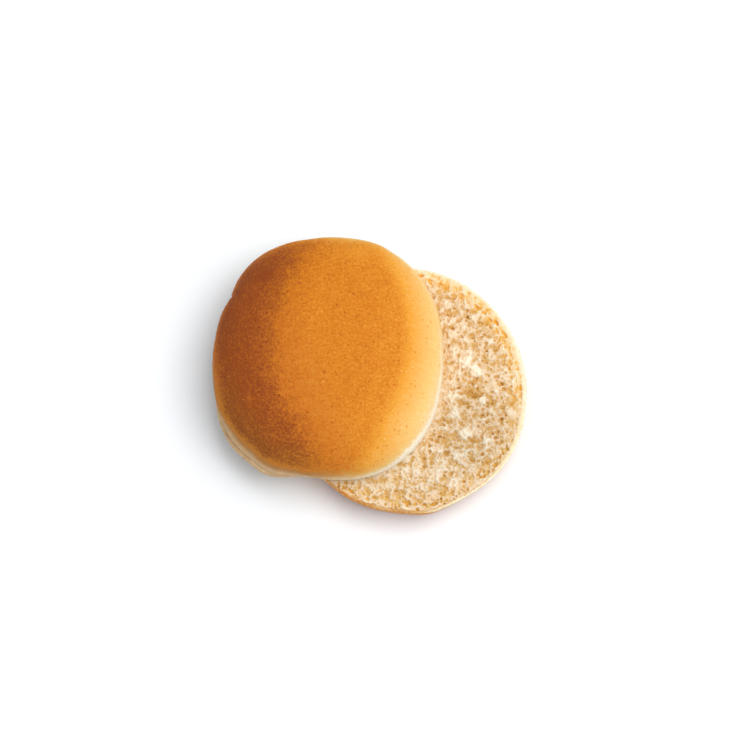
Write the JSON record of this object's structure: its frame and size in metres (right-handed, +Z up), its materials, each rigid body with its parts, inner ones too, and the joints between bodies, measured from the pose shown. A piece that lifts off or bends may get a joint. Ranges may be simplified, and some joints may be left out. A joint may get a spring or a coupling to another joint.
{
  "type": "split brioche bun",
  "caption": "Round soft bun cut level in two: the browned domed crown lies offset on the heel, leaving part of the heel's open crumb bare.",
  "frame": {"origin": "on the surface the bun stands on, under the middle of the whole bun's box", "axes": "+Z up; +X from the crown's side to the heel's bare side; +Y towards the top of the picture"},
  "size_m": [0.1318, 0.1166, 0.0463],
  "materials": {
    "golden_crust": "soft satin egg-washed crust, golden orange to brown, fading to cream at the side wall",
    "pale_crumb": "matt open crumb, cream with tan hollows"
  },
  "bodies": {
    "root": {"crown": "golden_crust", "heel": "pale_crumb"}
  },
  "joints": []
}
